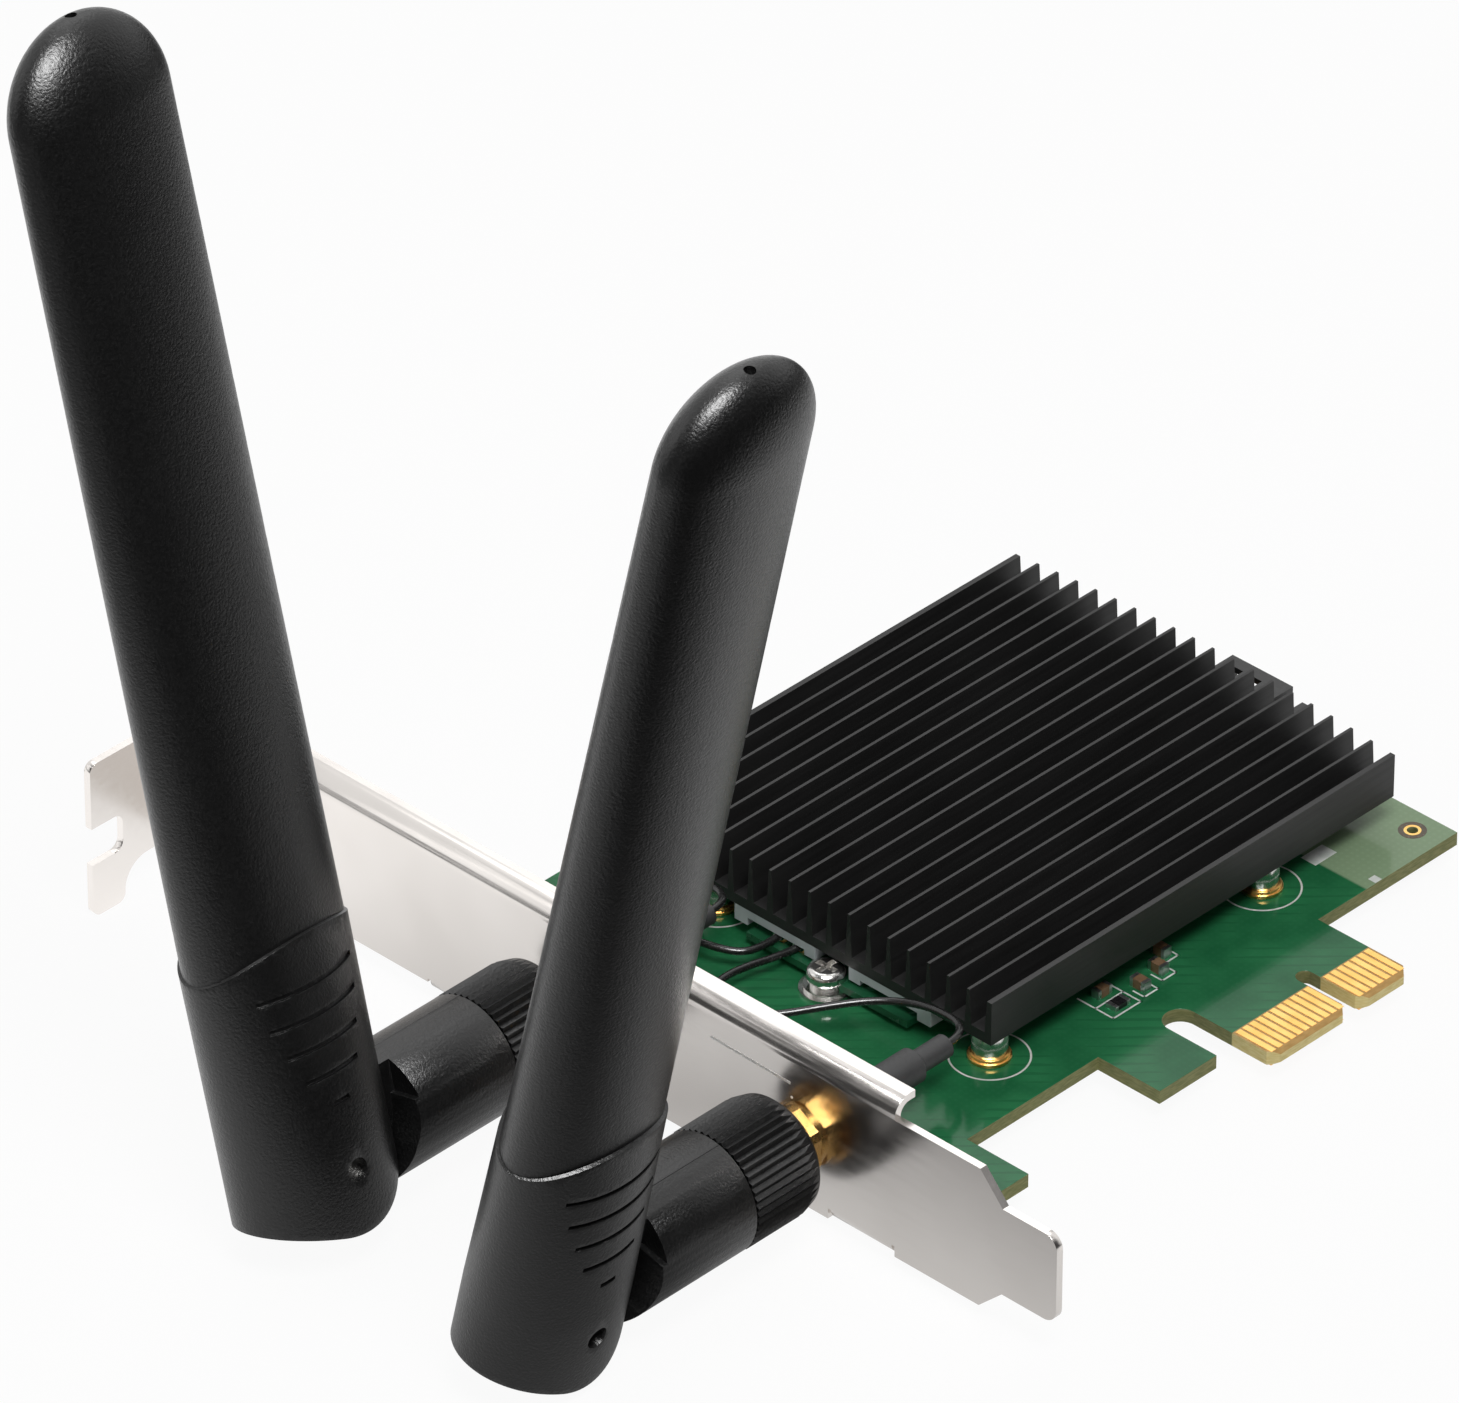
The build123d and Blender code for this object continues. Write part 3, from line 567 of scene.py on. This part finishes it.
def rectangle(x, y, length, width):
    return [(x - length / 2, y - width / 2), (x + length / 2, y - width / 2),
            (x + length / 2, y + width / 2), (x - length / 2, y + width / 2)], None


SILK_LINE = 0.2
SILK_HEIGHT = 0.02
RING_RADIUS = 4.1
RESISTOR_PLACE = (FACE_X + 43.2, LOWER_Y + 4.5)
RESISTOR_FRAME = (2.0, 1.2)
RESISTOR_TAILS = (3.6, 3.0)
CAPACITOR_PLACES = ((47.0, 5.0), (50.3, 5.6), (52.6, 7.4))
CAPACITOR_FRAME = (1.0, 1.45)
LARGE_FIELD = (FACE_X + 76.2, LOWER_Y + 7.4, 3.2, 2.0)
SMALL_FIELD = (FACE_X + 77.0, LOWER_Y + 0.55, 0.95, 1.0)


def make_silk(materials):
    """White print: rings round the standoffs, frames round the chips and two plain fields."""
    shapes = []
    for x in STANDOFF_X:
        for y in STANDOFF_Y:
            shapes.append(ring(x, y, RING_RADIUS, SILK_LINE))
    x, y = RESISTOR_PLACE
    half, depth = RESISTOR_FRAME
    box = [(x - half, y - depth), (x + half, y - depth), (x + half, y + depth), (x - half, y + depth)]
    for start, end in zip(box, box[1:] + box[:1]):
        shapes.append(stroke(start, end, SILK_LINE))
    for side, tail in zip((-half, half), RESISTOR_TAILS):
        shapes.append(stroke((x + side, y + depth), (x + side, y + tail), SILK_LINE))
    half, depth = CAPACITOR_FRAME
    for chip_x, chip_y in CAPACITOR_PLACES:
        x, y = FACE_X + chip_x, LOWER_Y + chip_y
        shapes.append(stroke((x - half, y), (x - half, y - depth), SILK_LINE))
        shapes.append(stroke((x - half, y - depth), (x + half, y - depth), SILK_LINE))
        shapes.append(stroke((x + half, y - depth), (x + half, y), SILK_LINE))
    shapes.append(rectangle(*LARGE_FIELD))
    shapes.append(rectangle(*SMALL_FIELD))
    flat_piece("silk_print", shapes, 0.0, SILK_HEIGHT, materials["silk_white"])


HOLE_STEPS = 48
LAND_OFFSET = 0.2
LAND_WIDTH = 0.3
LAND_HEIGHT = 0.03
MARGIN_OFFSET = 0.65
MARGIN_WIDTH = 0.56
MARGIN_HEIGHT = 0.015


def make_hole_ring(materials):
    x, y = CORNER_HOLE
    land = [ring(x, y, CORNER_HOLE_RADIUS + LAND_OFFSET, LAND_WIDTH, HOLE_STEPS)]
    flat_piece("corner_hole_land", land, 0.0, LAND_HEIGHT, materials["contact_gold"])
    margin = [ring(x, y, CORNER_HOLE_RADIUS + MARGIN_OFFSET, MARGIN_WIDTH, HOLE_STEPS)]
    flat_piece("corner_hole_margin", margin, 0.0, MARGIN_HEIGHT, materials["hole_brown"])


LEGEND_START = (LOWER_Y + 18.9, 11.5)
LEGEND_END = (LOWER_Y + 8.2, 11.3)
LEGEND_HALF_WIDTH = 0.15
LEGEND_HEIGHT = 0.02
DOT_PLACE = (LEGEND_END[0] - 0.2, LEGEND_END[1] - 1.6)
DOT_RADIUS = 0.16
DOT_STEPS = 16


def make_legend(materials):
    """Printed line and dot on the bracket's outer face."""
    mesh = bpy.data.meshes.new("bracket_legend")
    build = bmesh.new()
    x = FACE_X - LEGEND_HEIGHT
    half = LEGEND_HALF_WIDTH
    (start_y, start_z), (end_y, end_z) = LEGEND_START, LEGEND_END
    corners = [(start_y, start_z - half), (start_y, start_z + half),
               (end_y, end_z + half), (end_y, end_z - half)]
    dot = circle(*DOT_PLACE, DOT_RADIUS, DOT_STEPS)
    for outline in (corners, dot):
        front = [build.verts.new((x * MM, y * MM, z * MM)) for y, z in outline]
        back = [build.verts.new((FACE_X * MM, y * MM, z * MM)) for y, z in outline]
        build.faces.new(front)
        build.faces.new(list(reversed(back)))
        for i in range(len(outline)):
            j = (i + 1) % len(outline)
            build.faces.new((front[i], back[i], back[j], front[j]))
    bmesh.ops.recalc_face_normals(build, faces=build.faces)
    build.to_mesh(mesh)
    build.free()
    link("bracket_legend", mesh, materials["legend_white"], "card")


RIDGE_SECTION = ((-0.10, -0.03), (0.0, 0.035), (0.10, -0.03))
RIDGE_START = HINGE_X + 9.6
RIDGE_RUN_IN = 0.8
RIDGE_SINK = -0.06
RIDGE_END_GAP = 0.35


def make_parting_lines(materials):
    """Fine moulded ridge along the top and the bottom of each aerial's stem."""
    for side, splay in SPLAY.items():
        mesh = bpy.data.meshes.new(side + "_parting_lines")
        build = bmesh.new()
        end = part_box(side + "_coupling_nut")[0][0] / MM - RIDGE_END_GAP
        for angle in (90 + splay, 270 + splay):
            out = Vector((0.0, math.cos(math.radians(angle)), math.sin(math.radians(angle))))
            across = Vector((0.0, -out.z, out.y))
            centre = Vector((0.0, JACK_Y[side], JACK_Z))
            rows = []
            for x, lift in ((RIDGE_START, RIDGE_SINK), (RIDGE_START + RIDGE_RUN_IN, 0.0), (end, 0.0)):
                row = []
                for width, height in RIDGE_SECTION:
                    place = centre + Vector((x, 0.0, 0.0)) + across * width
                    place += out * (STEM_RADIUS + height + lift)
                    row.append(build.verts.new(place * MM))
                rows.append(row)
            for first, second in zip(rows, rows[1:]):
                for i in range(3):
                    j = (i + 1) % 3
                    build.faces.new((first[i], first[j], second[j], second[i]))
            build.faces.new(rows[0])
            build.faces.new(list(reversed(rows[-1])))
        bmesh.ops.recalc_face_normals(build, faces=build.faces)
        build.to_mesh(mesh)
        build.free()
        link(side + "_parting_lines", mesh, materials["aerial_black"], side + "_stem")


# Stage: places in metres, each pair of levels over the pair of places before it

FLOOR_HALF = 8.0
FLOOR_WHITE_SHARE = 0.94
# Painted light on the floor, seen only in reflections: a painted sheen to the back left and a painted
# pool of light to the right.
BACK_LEFT = (-0.5, 0.866, 0.0)
BACK_LEFT_SPAN = (0.02, 0.125)
BACK_LEFT_LEVELS = (0.02, 1.25)
FAR_LEFT_SPAN = (-0.30, -0.15)
FAR_LEFT_LEVELS = (0.2, 1.0)
RIGHT_CENTRE = (0.08, 0.0)
RIGHT_SPAN = (0.11, 0.20)
RIGHT_LEVELS = (1.0, 0.0)
BEHIND = (0.72, 0.69, 0.0)
BEHIND_SPAN = (-0.2, 0.4)
BEHIND_LEVELS = (0.04, 1.0)
FILL = 0.18
AIM = (-0.03, 0.04, 0.04)


def make_floor():
    """White to the camera, with the shadow; to shiny surfaces it glows as painted light, bright on the
    right and back left.
    """
    mesh = bpy.data.meshes.new("floor")
    size = FLOOR_HALF
    z = cad_box[0][2]
    corners = [(-size, -size, z), (size, -size, z), (size, size, z), (-size, size, z)]
    mesh.from_pydata(corners, [], [(0, 1, 2, 3)])
    floor = bpy.data.objects.new("floor", mesh)
    bpy.context.scene.collection.objects.link(floor)
    material = bpy.data.materials.new("floor_white")
    material.use_nodes = True
    tree = material.node_tree
    tree.nodes.clear()
    output = tree.nodes.new("ShaderNodeOutputMaterial")
    diffuse = tree.nodes.new("ShaderNodeBsdfDiffuse")
    diffuse.inputs["Color"].default_value = (0.85, 0.85, 0.85, 1.0)
    glow = tree.nodes.new("ShaderNodeEmission")
    glow.inputs["Color"].default_value = (1.0, 1.0, 1.0, 1.0)
    blend = tree.nodes.new("ShaderNodeMixShader")
    path = tree.nodes.new("ShaderNodeLightPath")
    seen = path.outputs["Is Camera Ray"]
    mirrored = path.outputs["Is Glossy Ray"]
    across = tree.nodes.new("ShaderNodeVectorMath")
    across.operation = "DOT_PRODUCT"
    across.inputs[1].default_value = BACK_LEFT
    position = tree.nodes.new("ShaderNodeNewGeometry").outputs["Position"]
    tree.links.new(position, across.inputs[0])
    # Painted sheen: mirrored rays see the floor glow brighter towards the back left.
    sheen = remap(tree, across.outputs["Value"], *BACK_LEFT_SPAN, *BACK_LEFT_LEVELS)
    fade = remap(tree, axis_of(tree, position, "X"), *FAR_LEFT_SPAN, *FAR_LEFT_LEVELS)
    sheen = math_node(tree, "MULTIPLY", sheen, fade)
    reach = tree.nodes.new("ShaderNodeVectorMath")
    reach.operation = "DISTANCE"
    reach.inputs[1].default_value = (*RIGHT_CENTRE, z)
    tree.links.new(position, reach.inputs[0])
    # Painted pool of light: mirrored rays see the floor glow round a spot right of the object.
    painted_light_pool = remap(tree, reach.outputs["Value"], *RIGHT_SPAN, *RIGHT_LEVELS, smooth=True)
    sheen = math_node(tree, "MULTIPLY", math_node(tree, "MAXIMUM", sheen, painted_light_pool), mirrored)
    tree.links.new(math_node(tree, "MAXIMUM", seen, sheen), glow.inputs["Strength"])
    share = math_node(tree, "MAXIMUM", math_node(tree, "MULTIPLY", seen, FLOOR_WHITE_SHARE), mirrored)
    tree.links.new(share, blend.inputs[0])
    tree.links.new(diffuse.outputs[0], blend.inputs[1])
    tree.links.new(glow.outputs[0], blend.inputs[2])
    tree.links.new(blend.outputs[0], output.inputs["Surface"])
    mesh.materials.append(material)


def make_world():
    """White to the camera; behind the object bright and on the camera's side dim, for reflections."""
    world = bpy.data.worlds.new("studio")
    bpy.context.scene.world = world
    world.use_nodes = True
    tree = world.node_tree
    background = tree.nodes["Background"]
    background.inputs["Color"].default_value = (1.0, 1.0, 1.0, 1.0)
    path = tree.nodes.new("ShaderNodeLightPath")
    direction = tree.nodes.new("ShaderNodeTexCoord").outputs["Generated"]
    along = tree.nodes.new("ShaderNodeVectorMath")
    along.operation = "DOT_PRODUCT"
    along.inputs[1].default_value = BEHIND
    tree.links.new(direction, along.inputs[0])
    gradient = remap(tree, along.outputs["Value"], *BEHIND_SPAN, *BEHIND_LEVELS, smooth=True)
    glossy = path.outputs["Is Glossy Ray"]
    level = math_node(tree, "ADD", math_node(tree, "MULTIPLY", glossy, gradient),
                      math_node(tree, "MULTIPLY", math_node(tree, "SUBTRACT", 1.0, glossy), FILL))
    seen = path.outputs["Is Camera Ray"]
    strength = math_node(tree, "MAXIMUM", level, seen)
    tree.links.new(strength, background.inputs["Strength"])


def area_lamp(name, place, size, power, card=False):
    """Soft lamp aimed at the object; a card shows only in shiny surfaces."""
    data = bpy.data.lights.new(name, "AREA")
    data.shape = "RECTANGLE"
    data.size, data.size_y = size
    data.energy = power
    lamp = bpy.data.objects.new(name, data)
    bpy.context.scene.collection.objects.link(lamp)
    aim = (Vector(AIM) - Vector(place)).to_track_quat("-Z", "Y")
    lamp.matrix_world = Matrix.Translation(Vector(place)) @ aim.to_matrix().to_4x4()
    lamp.visible_diffuse = not card


def make_lights():
    area_lamp("top_softbox", (-0.30, -0.40, 1.0), (0.42, 0.42), 6.0)
    area_lamp("top_card", (-0.36, -0.26, 0.9), (0.5, 0.5), 18.0, card=True)
    area_lamp("back_softbox", (0.45, 0.60, 1.1), (0.9, 0.9), 3.0)
    area_lamp("left_softbox", (-0.85, 0.75, 0.55), (0.7, 1.0), 2.0)


bpy.context.scene.view_settings.view_transform = "Standard"
make_camera()
materials = make_materials()
dress_nodes(materials)
soften_edges()
make_pigtails(materials)
make_silk(materials)
make_hole_ring(materials)
make_legend(materials)
make_parting_lines(materials)
make_floor()
make_world()
make_lights()
